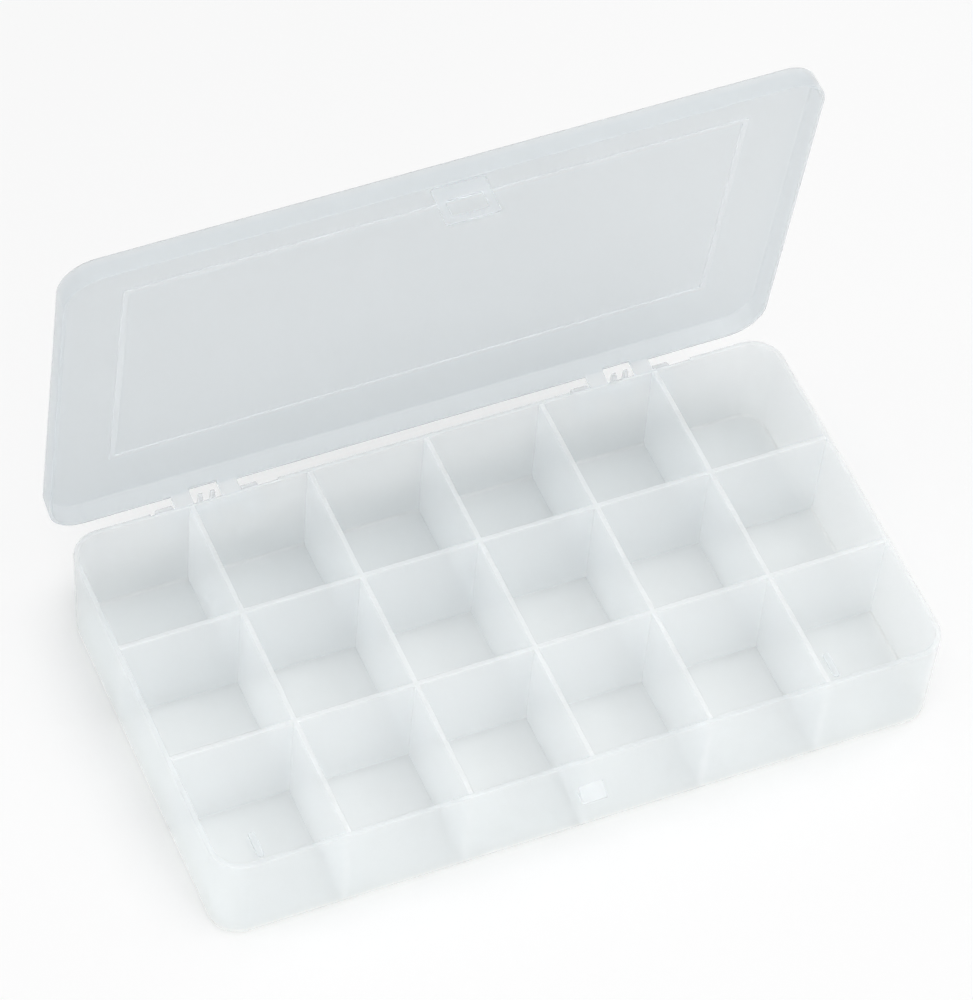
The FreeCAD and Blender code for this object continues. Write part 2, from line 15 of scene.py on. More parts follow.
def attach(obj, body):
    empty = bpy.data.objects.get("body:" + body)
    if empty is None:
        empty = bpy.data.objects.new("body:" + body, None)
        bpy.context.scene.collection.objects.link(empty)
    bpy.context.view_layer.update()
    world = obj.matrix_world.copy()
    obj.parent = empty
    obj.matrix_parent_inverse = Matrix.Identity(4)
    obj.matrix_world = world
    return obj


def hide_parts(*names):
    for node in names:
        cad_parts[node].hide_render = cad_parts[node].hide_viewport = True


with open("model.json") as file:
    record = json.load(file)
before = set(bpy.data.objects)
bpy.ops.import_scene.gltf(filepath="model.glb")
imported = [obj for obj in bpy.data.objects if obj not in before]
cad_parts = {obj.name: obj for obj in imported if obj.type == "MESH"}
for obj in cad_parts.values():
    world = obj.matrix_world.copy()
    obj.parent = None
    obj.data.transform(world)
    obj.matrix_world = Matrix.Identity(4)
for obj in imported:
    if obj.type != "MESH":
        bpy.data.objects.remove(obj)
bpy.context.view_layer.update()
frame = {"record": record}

MM = 0.001
IMAGE_HEIGHT = 1000
ARC_STEPS = 5
BEVEL_ANGLE = math.radians(32)
SHARP_ANGLE = math.radians(40)
WELD_DISTANCE = 0.0005
SLIVER_LENGTH = 0.0002
log = logging.getLogger("small_parts_box")

# A finished piece with the starts of the names of the nodes that it stands for
Dressed = tuple[Object, tuple[str, ...]]
Colour = tuple[float, float, float]
Point = tuple[float, float]

# Colours of the plastic, and of what shows through it. The pale pair is painted light: a lighter copy of the
# same plastic that lifts the dividers, the moulded details and the lid's frame, arms and bars, for light that
# glows through them.
CLEAR, MILKY = (0.885, 0.948, 0.988), (0.905, 0.958, 0.992)
PAINTED_LIGHT_CLEAR, PAINTED_LIGHT_MILKY = (0.966, 0.986, 1.0), (0.976, 0.991, 1.0)
# The lid's veil is a cool tint, darkened as painted shade on the lid.
COOL_SHADED_VEIL, BRIGHT_VEIL = (0.785, 0.827, 0.855), (0.97, 0.985, 0.995)


class Body(Enum):
    """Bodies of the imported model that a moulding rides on."""

    TRAY = "tray"
    LID = "lid"
    LATCH = "latch"


class Join(Enum):
    """How a tool solid changes a moulding."""

    ADD = "UNION"
    TAKE = "DIFFERENCE"


def shown(name: str, work: BMesh) -> Object:
    """Puts a working mesh into the scene as an object, and frees it.

    Args:
        name: The object's name.
        work: The finished working mesh.

    Returns:
        The new object, at the origin.
    """
    mesh = bpy.data.meshes.new(name)
    work.to_mesh(mesh)
    work.free()
    thing = bpy.data.objects.new(name, mesh)
    bpy.context.scene.collection.objects.link(thing)
    return thing


def settle(thing: Object) -> None:
    """Replaces an object's mesh by its evaluated one and drops its modifiers.

    Args:
        thing: The object to settle.
    """
    graph = bpy.context.evaluated_depsgraph_get()
    mesh = bpy.data.meshes.new_from_object(thing.evaluated_get(graph), depsgraph=graph)
    thing.modifiers.clear()
    thing.data = mesh


def arc(centre: Point, radius: float, start: float, end: float, steps: int = ARC_STEPS) -> list[Point]:
    """Points along an arc in a plane.

    Args:
        centre: The arc's centre.
        radius: Its radius.
        start: First angle in degrees.
        end: Last angle in degrees.
        steps: Number of chords.

    Returns:
        The points from the first angle to the last.
    """
    points = []
    for step in range(steps + 1):
        angle = math.radians(start + (end - start) * step / steps)
        points.append((centre[0] + radius * math.cos(angle), centre[1] + radius * math.sin(angle)))
    return points


@dataclass(frozen=True)
class RoundBlock:
    """A level rectangle with round corners, from which the rings of a skin are taken.

    Attributes:
        low: Lowest corner across the plane.
        high: Highest corner across the plane.
        radius: Corner radius of the rectangle itself.
        steps: Chords in each corner.
        least: Smallest corner radius that a ring is given.
    """

    low: Point
    high: Point
    radius: float
    steps: int = 12
    least: float = 0.02

    def ring(self, inset: float) -> list[Point]:
        """Outline moved inward by a distance.

        Args:
            inset: Distance inward; a negative one grows the outline.

        Returns:
            The outline's points, counter-clockwise.
        """
        radius = max(self.radius - inset, self.least)
        x0, y0 = self.low[0] + inset + radius, self.low[1] + inset + radius
        x1, y1 = self.high[0] - inset - radius, self.high[1] - inset - radius
        points: list[Point] = []
        for turn, corner in enumerate(((x1, y1), (x0, y1), (x0, y0), (x1, y0))):
            points += arc(corner, radius, 90 * turn, 90 * turn + 90, self.steps)
        return points


class Skin:
    """A closed skin that grows ring by ring."""

    def __init__(self) -> None:
        """Starts with nothing."""
        self.mesh = bmesh.new()
        self.rings: list[list[BMVert]] = []

    def add(self, points: list[Vector]) -> None:
        """Adds a ring and joins it to the one before.

        Args:
            points: As many points as every other ring has.
        """
        ring = [self.mesh.verts.new(point) for point in points]
        if self.rings:
            self.band(self.rings[-1], ring)
        self.rings.append(ring)

    def band(self, first: list[BMVert], second: list[BMVert]) -> None:
        """Joins two rings by a band of quads.

        Args:
            first: One ring.
            second: The other.
        """
        count = len(first)
        for index in range(count):
            after = (index + 1) % count
            self.mesh.faces.new((first[index], first[after], second[after], second[index]))

    def cap(self) -> None:
        """Closes the first and the last ring with a face each."""
        self.mesh.faces.new(self.rings[0])
        self.mesh.faces.new(self.rings[-1])

    def loop(self) -> None:
        """Joins the last ring to the first."""
        self.band(self.rings[-1], self.rings[0])

    def close(self, name: str) -> Object:
        """Turns the skin into an object with outward faces.

        Args:
            name: The object's name.

        Returns:
            The object.
        """
        bmesh.ops.recalc_face_normals(self.mesh, faces=self.mesh.faces)
        return shown(name, self.mesh)


def extruded(outline: list[Point], start: float, end: float) -> BMesh:
    """A plate with a given side outline.

    Args:
        outline: Points (y, z) round the plate's side.
        start: Lowest x.
        end: Highest x.

    Returns:
        The plate as a working mesh with outward faces.
    """
    work = bmesh.new()
    face = work.faces.new([work.verts.new((start, y, z)) for y, z in outline])
    grown = bmesh.ops.extrude_face_region(work, geom=[face])
    moved = [item for item in grown["geom"] if isinstance(item, BMVert)]
    bmesh.ops.translate(work, verts=moved, vec=(end - start, 0, 0))
    bmesh.ops.recalc_face_normals(work, faces=work.faces)
    return work


def prism(name: str, outline: list[Point], start: float, end: float, softness: float) -> Object:
    """A plate with a given side outline and softened edges.

    Args:
        name: The object's name.
        outline: Points (y, z) round the plate's side.
        start: Lowest x.
        end: Highest x.
        softness: Width of the rounding on every hard edge.

    Returns:
        The plate as an object.
    """
    work = extruded(outline, start, end)
    hard = [edge for edge in work.edges if edge.calc_face_angle(0.0) > BEVEL_ANGLE]
    bmesh.ops.bevel(
        work,
        geom=hard,
        offset=softness,
        offset_type="OFFSET",
        segments=2,
        profile=0.5,
        affect="EDGES",
        clamp_overlap=True,
    )
    return shown(name, work)


def sockets(tree: NodeTree, way: str, kind: str, *names: str) -> list[str]:
    """Adds sockets of one kind to a node group.

    Args:
        tree: The group.
        way: INPUT or OUTPUT.
        kind: What the sockets carry, such as Float.
        names: Their names.

    Returns:
        Their identifiers.
    """
    new = tree.interface.new_socket
    return [new(name, in_out=way, socket_type="NodeSocket" + kind).identifier for name in names]


def fill(node: Node, values: dict[str, object]) -> None:
    """Sets inputs of a node.

    Args:
        node: The node.
        values: Value of each input, by name.
    """
    for name, value in values.items():
        node.inputs[name].default_value = value


def wire(tree: NodeTree, *links: tuple[Node, str | int, Node, str | int]) -> None:
    """Links nodes of a tree.

    Args:
        tree: The tree.
        links: For each link a node with its output and a node with its input, by name or number.
    """
    for source, given, target, taken in links:
        tree.links.new(source.outputs[given], target.inputs[taken])


def sum_node(tree: NodeTree, operation: str, second: float | None = None) -> Node:
    """Adds a Math node to a tree.

    Args:
        tree: The tree.
        operation: What the node does.
        second: Its second number, or nothing where a link brings it.

    Returns:
        The node.
    """
    node = tree.nodes.new("ShaderNodeMath")
    node.operation = operation
    if second is not None:
        node.inputs[1].default_value = second
    return node


class EvenRow:
    """Geometry Nodes tree that repeats a piece at an even pitch, centred on where the piece stands."""

    def __init__(self) -> None:
        """Builds the tree."""
        self.tree = bpy.data.node_groups.new("even_row", "GeometryNodeTree")
        sockets(self.tree, "INPUT", "Geometry", "Geometry")
        (self.count,) = sockets(self.tree, "INPUT", "Int", "Count")
        (self.pitch,) = sockets(self.tree, "INPUT", "Vector", "Pitch")
        (self.finish,) = sockets(self.tree, "INPUT", "Material", "Material")
        sockets(self.tree, "OUTPUT", "Geometry", "Geometry")
        nodes = self.tree.nodes
        start = nodes.new("NodeGroupInput")
        less = sum_node(self.tree, "SUBTRACT", 1.0)
        half = sum_node(self.tree, "MULTIPLY", -0.5)
        first = nodes.new("ShaderNodeVectorMath")
        first.operation = "SCALE"
        line = nodes.new("GeometryNodeMeshLine")
        line.mode = "OFFSET"
        place = nodes.new("GeometryNodeInstanceOnPoints")
        real = nodes.new("GeometryNodeRealizeInstances")
        dress = nodes.new("GeometryNodeSetMaterial")
        end = nodes.new("NodeGroupOutput")
        wire(
            self.tree,
            (start, "Count", less, 0),
            (less, 0, half, 0),
            (start, "Pitch", first, 0),
            (half, 0, first, "Scale"),
            (start, "Count", line, "Count"),
            (first, 0, line, "Start Location"),
            (start, "Pitch", line, "Offset"),
            (line, "Mesh", place, "Points"),
            (start, "Geometry", place, "Instance"),
            (place, "Instances", real, "Geometry"),
            (real, "Geometry", dress, "Geometry"),
            (start, "Material", dress, "Material"),
            (dress, "Geometry", end, "Geometry"),
        )

    def repeat(self, thing: Object, finish: Material, *rows: tuple[int, Vector]) -> Object:
        """Repeats a piece in rows of rows and settles the result.

        Args:
            thing: The piece to repeat.
            finish: Material of the result.
            rows: Count and pitch of each row, the innermost first.

        Returns:
            The same object, now holding all the copies.
        """
        for count, pitch in rows:
            row = thing.modifiers.new("row", "NODES")
            row.node_group = self.tree
            row[self.count] = count
            row[self.pitch] = tuple(pitch)
            row[self.finish] = finish
        settle(thing)
        return thing


class MouldGrain:
    """Shader node group for a moulded plastic skin: cloudy flow, a satin tooth and a little bump."""

    def __init__(self) -> None:
        """Builds the group."""
        self.tree = bpy.data.node_groups.new("mould_grain", "ShaderNodeTree")
        sockets(self.tree, "INPUT", "Color", "Clear Colour", "Milky Colour")
        sockets(self.tree, "INPUT", "Float", "Cloud Scale", "Tooth Scale", "Smooth", "Rough")
        sockets(self.tree, "OUTPUT", "Color", "Colour")
        sockets(self.tree, "OUTPUT", "Float", "Roughness", "Height")
        nodes = self.tree.nodes
        start = nodes.new("NodeGroupInput")
        end = nodes.new("NodeGroupOutput")
        where = nodes.new("ShaderNodeTexCoord")
        cloud = nodes.new("ShaderNodeTexNoise")
        fill(cloud, {"Detail": 3.0, "Distortion": 0.6})
        tooth = nodes.new("ShaderNodeTexNoise")
        fill(tooth, {"Detail": 2.0})
        tint = nodes.new("ShaderNodeMix")
        tint.data_type = "RGBA"
        gloss = nodes.new("ShaderNodeMapRange")
        wire(
            self.tree,
            (where, "Object", cloud, "Vector"),
            (where, "Object", tooth, "Vector"),
            (start, "Cloud Scale", cloud, "Scale"),
            (start, "Tooth Scale", tooth, "Scale"),
            (cloud, "Fac", tint, "Factor"),
            (start, "Clear Colour", tint, "A"),
            (start, "Milky Colour", tint, "B"),
            (tooth, "Fac", gloss, "Value"),
            (start, "Smooth", gloss, "To Min"),
            (start, "Rough", gloss, "To Max"),
            (tint, "Result", end, "Colour"),
            (gloss, "Result", end, "Roughness"),
            (tooth, "Fac", end, "Height"),
        )


class FloorClear:
    """Shader node group that tells a thin floor from the walls above it, by its own share and by a warmer
    colour that is painted shade of the table seen through it.
    """

    def __init__(self) -> None:
        """Builds the group."""
        self.tree = bpy.data.node_groups.new("floor_clear", "ShaderNodeTree")
        sockets(self.tree, "INPUT", "Float", "Floor Body", "Wall Body", "Floor Top", "Wall Start")
        sockets(self.tree, "INPUT", "Color", "Floor Shade Colour", "Wall Colour")
        sockets(self.tree, "OUTPUT", "Float", "Body")
        sockets(self.tree, "OUTPUT", "Color", "Colour")
        nodes = self.tree.nodes
        start = nodes.new("NodeGroupInput")
        end = nodes.new("NodeGroupOutput")
        where = nodes.new("ShaderNodeTexCoord")
        part = nodes.new("ShaderNodeSeparateXYZ")
        wall = nodes.new("ShaderNodeMapRange")
        wall.interpolation_type = "SMOOTHSTEP"
        level = nodes.new("ShaderNodeMapRange")
        tint = nodes.new("ShaderNodeMix")
        tint.data_type = "RGBA"
        wire(
            self.tree,
            (where, "Object", part, "Vector"),
            (part, "Z", wall, "Value"),
            (start, "Floor Top", wall, "From Min"),
            (start, "Wall Start", wall, "From Max"),
            (wall, "Result", level, "Value"),
            (start, "Floor Body", level, "To Min"),
            (start, "Wall Body", level, "To Max"),
            (wall, "Result", tint, "Factor"),
            (start, "Floor Shade Colour", tint, "A"),
            (start, "Wall Colour", tint, "B"),
            (level, "Result", end, "Body"),
            (tint, "Result", end, "Colour"),
        )


@dataclass(frozen=True)
class Plastic:
    """A milky, see-through moulded plastic.

    Attributes:
        name: The material's name.
        slot: The record's material slot that it stands for; not used.
        clear: Colour where the flow is clearest.
        milky: Colour where it is cloudiest.
        body: Share of the light that the milky body catches; the rest goes straight through.
        floor_body: The same share in a thin floor at the foot of the piece, or nothing where it has none.
        veil: Colour that the wall gives to what shows through it.
        depth: How far light scatters under the skin, in metres.
        scatter: Share of the milky light that scatters under the skin, not on it.
        smooth: Lowest roughness.
        rough: Highest roughness.
        index: Refractive index.
        cloud: Clouds in a metre.
        tooth: Grains of the satin skin in a metre.
        bump: Strength of the grain's relief.
        relief: Height of the grain's relief, in metres.
        floor_colour: Colour of the thin floor, warmer than the walls: painted shade of the shaded table that
            shows through it.
        floor_top: Height up to which the floor's share holds, in metres.
        floor_fade: Height over which it goes over into the wall's share, in metres.
    """

    name: str
    slot: str
    clear: Colour = CLEAR
    milky: Colour = MILKY
    body: float = 0.36
    floor_body: float | None = None
    veil: Colour = (0.978, 0.993, 1.0)
    depth: float = 0.002
    scatter: float = 1.0
    smooth: float = 0.30
    rough: float = 0.42
    index: float = 1.49
    cloud: float = 18.0
    tooth: float = 900.0
    bump: float = 0.06
    relief: float = 0.0002
    floor_colour: Colour = (0.94, 0.96, 0.95)
    floor_top: float = 0.0013
    floor_fade: float = 0.0009

    def material(self, grain: MouldGrain, thin: FloorClear) -> Material:
        """Builds the material.

        Args:
            grain: The shared node group of the moulded skin.
            thin: The node group that tells a floor from its walls.

        Returns:
            The material.
        """
        made = bpy.data.materials.new(self.name)
        made.use_nodes = True
        nodes = made.node_tree.nodes
        shader = nodes["Principled BSDF"]
        fill(shader, {"Alpha": self.body, "IOR": self.index, "Subsurface Weight": self.scatter})
        fill(shader, {"Subsurface Radius": (1.0, 1.0, 1.0), "Subsurface Scale": self.depth})
        skin = nodes.new("ShaderNodeGroup")
        skin.node_tree = grain.tree
        fill(skin, {"Clear Colour": (*self.clear, 1.0), "Milky Colour": (*self.milky, 1.0)})
        fill(skin, {"Cloud Scale": self.cloud, "Tooth Scale": self.tooth})
        fill(skin, {"Smooth": self.smooth, "Rough": self.rough})
        bump = nodes.new("ShaderNodeBump")
        fill(bump, {"Strength": self.bump, "Distance": self.relief})
        wire(
            made.node_tree,
            (skin, "Colour", shader, "Base Color"),
            (skin, "Roughness", shader, "Roughness"),
            (skin, "Height", bump, "Height"),
            (bump, "Normal", shader, "Normal"),
        )
        # The thin floor takes its own warmer colour: painted shade of the table seen through it.
        if self.floor_body is not None:
            share = nodes.new("ShaderNodeGroup")
            share.node_tree = thin.tree
            fill(share, {"Floor Body": self.floor_body, "Wall Body": self.body})
            fill(share, {"Floor Top": self.floor_top, "Wall Start": self.floor_top + self.floor_fade})
            fill(share, {"Floor Shade Colour": (*self.floor_colour, 1.0)})
            wire(
                made.node_tree,
                (skin, "Colour", share, "Wall Colour"),
                (share, "Body", shader, "Alpha"),
                (share, "Colour", shader, "Base Color"),
            )
        side = nodes.new("ShaderNodeNewGeometry")
        through = nodes.new("ShaderNodeBsdfTransparent")
        fill(through, {"Color": (*self.veil, 1.0)})
        mix = nodes.new("ShaderNodeMixShader")
        wire(
            made.node_tree,
            (side, "Backfacing", mix, "Fac"),
            (shader, "BSDF", mix, 1),
            (through, "BSDF", mix, 2),
            (mix, "Shader", nodes["Material Output"], "Surface"),
        )
        return made


def moulded(base: Object, tools: list[tuple[Object, Join]], place: Matrix, finish: Material) -> Object:
    """Joins tool solids to a base so that one seamless skin is left, and puts it in its place.

    Args:
        base: The main form, in millimetres.
        tools: Solids to add or take, in order.
        place: Where the moulding's own frame stands in the model, in millimetres.
        finish: Its material.

    Returns:
        The base, now the whole moulding, in metres.
    """
    for tool, join in tools:
        step = base.modifiers.new("join", "BOOLEAN")
        step.operation = join.value
        step.solver = "EXACT"
        step.object = tool
    settle(base)
    for tool, _ in tools:
        bpy.data.objects.remove(tool)
    work = bmesh.new()
    work.from_mesh(base.data)
    bmesh.ops.remove_doubles(work, verts=work.verts, dist=WELD_DISTANCE)
    bmesh.ops.dissolve_degenerate(work, edges=work.edges, dist=SLIVER_LENGTH)
    work.to_mesh(base.data)
    work.free()
    base.data.transform(Matrix.Scale(MM, 4) @ place)
    base.data.materials.clear()
    base.data.materials.append(finish)
    base.data.shade_smooth()
    base.data.set_sharp_from_angle(angle=SHARP_ANGLE)
    lean = base.modifiers.new("lean", "WEIGHTED_NORMAL")
    lean.keep_sharp = True
    settle(base)
    return base


@dataclass
class Hinge:
    """The two snap hinges: cheeks and hooks on the tray, arms and bars on the lid, all in millimetres.

    Attributes:
        maker: The tree that repeats a piece.
        offset: Distance of each hinge from the middle of the box.
        axis: The hinge axis in the model, as (y, z).
        wall: The back wall's outer face at the axis height, from the axis.
        recess_width: Length of the pocket in the back wall, with its depth and its drop below the rim.
        cheek_thickness: Thickness of a cheek, with its radius and its root, from the axis.
        bar_length: Length of a bar, with its radius and its gap to the cheeks.
        hook_thickness: Thickness of a hook, with its spacing, seat radius, wall, lip, horn and barb.
        hook_sink: How far a hook goes into the back wall.
        arm_window: Gap between the two arms of a hinge.
        arm_sink: How far an arm goes up into the skirt.
        arm_lean: How far its upper end draws in on the inside and the outside.
        skirt_notch: Height of the cut in the skirt over the hooks.
        past: How far a cutting solid goes past the face that it cuts; a notch goes less far outward and down.
        softness: Rounding of the arms' edges, with that of the other pieces.
    """

    maker: EvenRow
    offset: float = 61.387
    axis: Point = (61.6, 21.92)
    wall: float = -3.97
    recess_width: float = 36.8
    recess_depth: float = 0.7
    recess_drop: float = 8.3
    cheek_thickness: float = 4.8
    cheek_radius: float = 3.1
    cheek_root: float = -4.8
    bar_length: float = 19.0
    bar_radius: float = 1.25
    bar_end_gap: float = 0.3
    hook_thickness: float = 1.3
    hook_spacing: float = 3.54
    hook_seat: float = 1.35
    hook_wall: float = 1.25
    hook_lip: float = 0.6
    hook_horn: float = 4.0
    hook_barb: float = 0.3
    hook_sink: float = 0.85
    arm_window: float = 8.2
    arm_sink: float = 0.6
    arm_lean: tuple[float, float] = (0.05, 0.07)
    skirt_notch: float = 1.0
    past: float = 3.0
    notch_past: float = 2.0
    softness: float = 0.18
    cheek_softness: float = 0.3
    hook_softness: float = 0.12
    bar_softness: float = 0.2
    recess_softness: float = 0.15
    notch_softness: float = 0.12
    round_steps: int = 14
    bar_sides: int = 24

    def pair(self, spread: float) -> tuple[tuple[int, Vector], tuple[int, Vector]]:
        """Rows for a piece that stands twice in each hinge, this far apart."""
        return (2, Vector((spread, 0, 0))), (2, Vector((2 * self.offset, 0, 0)))

    def single(self) -> tuple[tuple[int, Vector]]:
        """Row for a piece that stands once in each hinge."""
        return ((2, Vector((2 * self.offset, 0, 0))),)

    def cheeks(self, finish: Material) -> Object:
        """The blocks at the ends of each bar.

        Args:
            finish: Their material.

        Returns:
            All four cheeks, in the tray's frame.
        """
        y, z = self.axis
        outline = [(y + self.cheek_root, z + self.cheek_radius), (y + self.cheek_root, z - self.cheek_radius)]
        outline += arc((y, z), self.cheek_radius, -90, 90, self.round_steps)
        half = self.cheek_thickness / 2
        block = prism("hinge_seats", outline, -half, half, self.cheek_softness)
        spread = self.bar_length + 2 * self.bar_end_gap + self.cheek_thickness
        return self.maker.repeat(block, finish, *self.pair(spread))

    def hooks(self, finish: Material) -> Object:
        """The hooks in which each bar turns.

        Args:
            finish: Their material.

        Returns:
            All four hooks, in the tray's frame.
        """
        seat = self.hook_seat
        out = seat + self.hook_wall
        root = self.wall - self.hook_sink
        flat = [
            (root, self.hook_lip),
            (root, -out),
            (seat, -out),
            (out, -self.hook_wall),
            (out, self.hook_horn - self.hook_wall),
            (out - self.hook_barb, self.hook_horn),
            (seat, self.hook_horn),
            (seat - self.hook_barb, self.bar_radius + self.hook_barb),
        ]
        flat += arc((0.0, 0.0), seat, 0, -180, self.round_steps)
        flat.append((-seat, self.hook_lip))
        outline = [(self.axis[0] + y, self.axis[1] + z) for y, z in flat]
        half = self.hook_thickness / 2
        hook = prism("hinge_claws", outline, -half, half, self.hook_softness)
        return self.maker.repeat(hook, finish, *self.pair(self.hook_spacing))

    def recesses(self, finish: Material, face: float, rim: float) -> Object:
        """The shallow pockets in the back wall, as tool solids.

        Args:
            finish: Material of the moulding that they cut.
            face: The back wall's outer face at the rim.
            rim: Height of the rim.

        Returns:
            Both pockets, in the tray's frame.
        """
        y0, z0 = face - self.recess_depth, rim - self.recess_drop
        y1, z1 = face + self.past, rim + self.past
        half = self.recess_width / 2
        pocket = prism("recess", [(y0, z0), (y1, z0), (y1, z1), (y0, z1)], -half, half, self.recess_softness)
        return self.maker.repeat(pocket, finish, *self.single())

    def arms(self, finish: Material, inner: float, outer: float, rim: float) -> Object:
        """The arms that go down from the lid's rear skirt to the bars.

        Args:
            finish: Their material.
            inner: Inside of the rear skirt, from the axis.
            outer: Outside of the rear skirt, from the axis.
            rim: The lid's rim above the axis.

        Returns:
            All four arms, in the shut lid's frame.
        """
        bar = self.bar_radius
        top = rim + self.arm_sink
        outline = [
            (inner + self.arm_lean[0], top),
            (inner, rim),
            (inner, 0.0),
            (-bar, -bar),
            (0.0, -bar),
            (0.0, bar),
            (outer, bar),
            (outer, rim),
            (outer - self.arm_lean[1], top),
        ]
        width = (self.bar_length - self.arm_window) / 2
        arm = prism("hinge_straps", outline, -width / 2, width / 2, self.softness)
        return self.maker.repeat(arm, finish, *self.pair(self.arm_window + width))

    def bars(self, finish: Material) -> Object:
        """The round bars on which the lid turns.

        Args:
            finish: Their material.

        Returns:
            Both bars, in the shut lid's frame.
        """
        half = self.bar_length / 2
        side = 360 / self.bar_sides
        round_bar = arc((0.0, 0.0), self.bar_radius, 0, 360 - side, self.bar_sides - 1)
        bar = prism("bar", round_bar, -half, half, self.bar_softness)
        return self.maker.repeat(bar, finish, *self.single())

    def notches(self, finish: Material, outer: float, rim: float) -> Object:
        """The cuts in the lid's rear skirt over the hooks, as tool solids.

        Args:
            finish: Material of the moulding that they cut.
            outer: Outside of the rear skirt, from the axis.
            rim: The lid's rim above the axis.

        Returns:
            Both cuts, in the shut lid's frame.
        """
        y0, z0 = outer - self.past, rim - self.notch_past
        y1, z1 = outer + self.notch_past, rim + self.skirt_notch
        half = self.arm_window / 2
        cut = prism("notch", [(y0, z0), (y1, z0), (y1, z1), (y0, z1)], -half, half, self.notch_softness)
        return self.maker.repeat(cut, finish, *self.single())


@dataclass
class Tray:
    """The divided tray with its hinge pieces and its catch. Lengths are in millimetres.

    Attributes:
        maker: The tree that repeats a piece.
        hinge: The hinges at its back.
        columns: Compartments along the length, and rows across it.
        pitch_long: Pitch of the compartments, along and across.
        end_margin: From the last compartment's edge to the outside, at the ends and the sides.
        height: Height of the rim.
        floor: Thickness of the floor, with the rounding of its outer edge.
        wall: Thickness of the walls.
        draft: How far the walls draw in from the rim to the foot.
        corner: Outer corner radius at the rim.
        rim_round: Rounding of the rim, with that of the foot inside and of the dividers' feet.
        divider_top: Thickness of a divider, at the top and the foot.
        divider_drop: How far its top lies below the rim.
        divider_sink: How far its foot goes into the floor, below a small lip.
        divider_inset: How far its ends stay inside the walls' outer faces.
        pip_place: Middle of the right floor mark, with its length, width, height, rounding and sink.
        catch_width: Width of the catch, with its side outline (y, z) and rounding.
    """

    maker: EvenRow
    hinge: Hinge
    columns: int = 6
    rows: int = 3
    pitch_long: float = 34.2
    pitch_cross: float = 38.0
    end_margin: float = 1.8
    side_margin: float = 0.9
    height: float = 31.4
    floor: float = 1.2
    floor_round: float = 0.8
    wall: float = 1.5
    draft: float = 0.9
    corner: float = 9.0
    rim_round: float = 0.3
    foot_round: float = 0.8
    rib_foot: float = 0.2
    divider_top: float = 1.5
    divider_foot: float = 1.9
    divider_drop: float = 0.02
    divider_sink: float = 0.5
    divider_lip: float = 0.03
    divider_inset: float = 0.5
    pip_place: Point = (84.0, -33.1)
    pip_length: float = 8.3
    pip_width: float = 2.0
    pip_height: float = 0.5
    pip_round: float = 0.3
    pip_sink: float = 0.4
    catch_width: float = 7.0
    catch_softness: float = 0.25
    catch_outline: tuple[Point, ...] = ((-56.6, 20.77), (-61.5, 17.9), (-61.5, 17.1), (-56.6, 17.1))

    @property
    def half(self) -> Point:
        """Half the tray's length and width at the rim."""
        return (
            self.columns / 2 * self.pitch_long + self.end_margin,
            self.rows / 2 * self.pitch_cross + self.side_margin,
        )

    def lean(self, height: float) -> float:
        """How far the walls have drawn in at a height."""
        return self.draft * (self.height - height) / self.height

    def shell(self) -> Object:
        """The open box without dividers: floor, walls, round rim and round foot.

        Returns:
            The shell as an object.
        """
        base, edge, foot = self.floor_round, self.rim_round, self.foot_round
        profile = arc((base, base), base, 270, 180)
        profile += arc((edge, self.height - edge), edge, 180, 90)
        profile += arc((self.wall - edge, self.height - edge), edge, 90, 0)
        profile += arc((self.wall + foot, self.floor + foot), foot, 180, 270)
        half_x, half_y = self.half
        block = RoundBlock((-half_x, -half_y), (half_x, half_y), self.corner)
        skin = Skin()
        for inset, height in profile:
            skin.add([Vector((x, y, height)) for x, y in block.ring(inset + self.lean(height))])
        skin.cap()
        return skin.close("tray_moulding")

    def rib(self, name: str, reach: float) -> Object:
        """One divider along X with a round top and a foot that runs out into the floor.

        Args:
            name: The object's name.
            reach: Half its length at the rim; the ends lean as the walls do.

        Returns:
            The divider, standing over the origin.
        """
        edge, foot = self.rim_round, self.rib_foot
        top, bottom = self.divider_top / 2, self.divider_foot / 2
        right = arc((bottom + foot, self.floor - self.divider_lip + foot), foot, 270, 180)
        right += arc((top - edge, self.height - edge - self.divider_drop), edge, 0, 90)
        outline = [(bottom + foot, self.floor - self.divider_sink)] + right
        outline += [(-y, z) for y, z in reversed(outline)]
        work = extruded(outline, -reach, reach)
        for vert in work.verts:
            vert.co.x -= math.copysign(self.lean(vert.co.z), vert.co.x)
        return shown(name, work)

    def dividers(self, finish: Material) -> list[Object]:
        """The long and the cross dividers.

        Args:
            finish: Their material.

        Returns:
            One object for each direction.
        """
        half_x, half_y = self.half
        across = self.rib("long_dividers", half_y - self.divider_inset)
        across.data.transform(Matrix.Rotation(math.radians(90), 4, "Z"))
        along = self.rib("divider_grid", half_x - self.divider_inset)
        self.maker.repeat(across, finish, (self.columns - 1, Vector((self.pitch_long, 0, 0))))
        self.maker.repeat(along, finish, (self.rows - 1, Vector((0, self.pitch_cross, 0))))
        return [across, along]

    def pips(self, finish: Material) -> Object:
        """The two low marks on the floor.

        Args:
            finish: Their material.

        Returns:
            Both marks.
        """
        x, y = self.pip_width / 2, self.pip_length / 2
        block = RoundBlock((-x, -y), (x, y), self.pip_width / 2, 8)
        edge = self.pip_round
        skin = Skin()
        top = self.floor + self.pip_height
        heights = [(0.0, self.floor - self.pip_sink)] + arc((edge, top - edge), edge, 180, 90, 4)
        for inset, height in heights:
            skin.add([Vector((px, py + self.pip_place[1], height)) for px, py in block.ring(inset)])
        skin.cap()
        marks = skin.close("floor_marks")
        return self.maker.repeat(marks, finish, (2, Vector((2 * self.pip_place[0], 0, 0))))

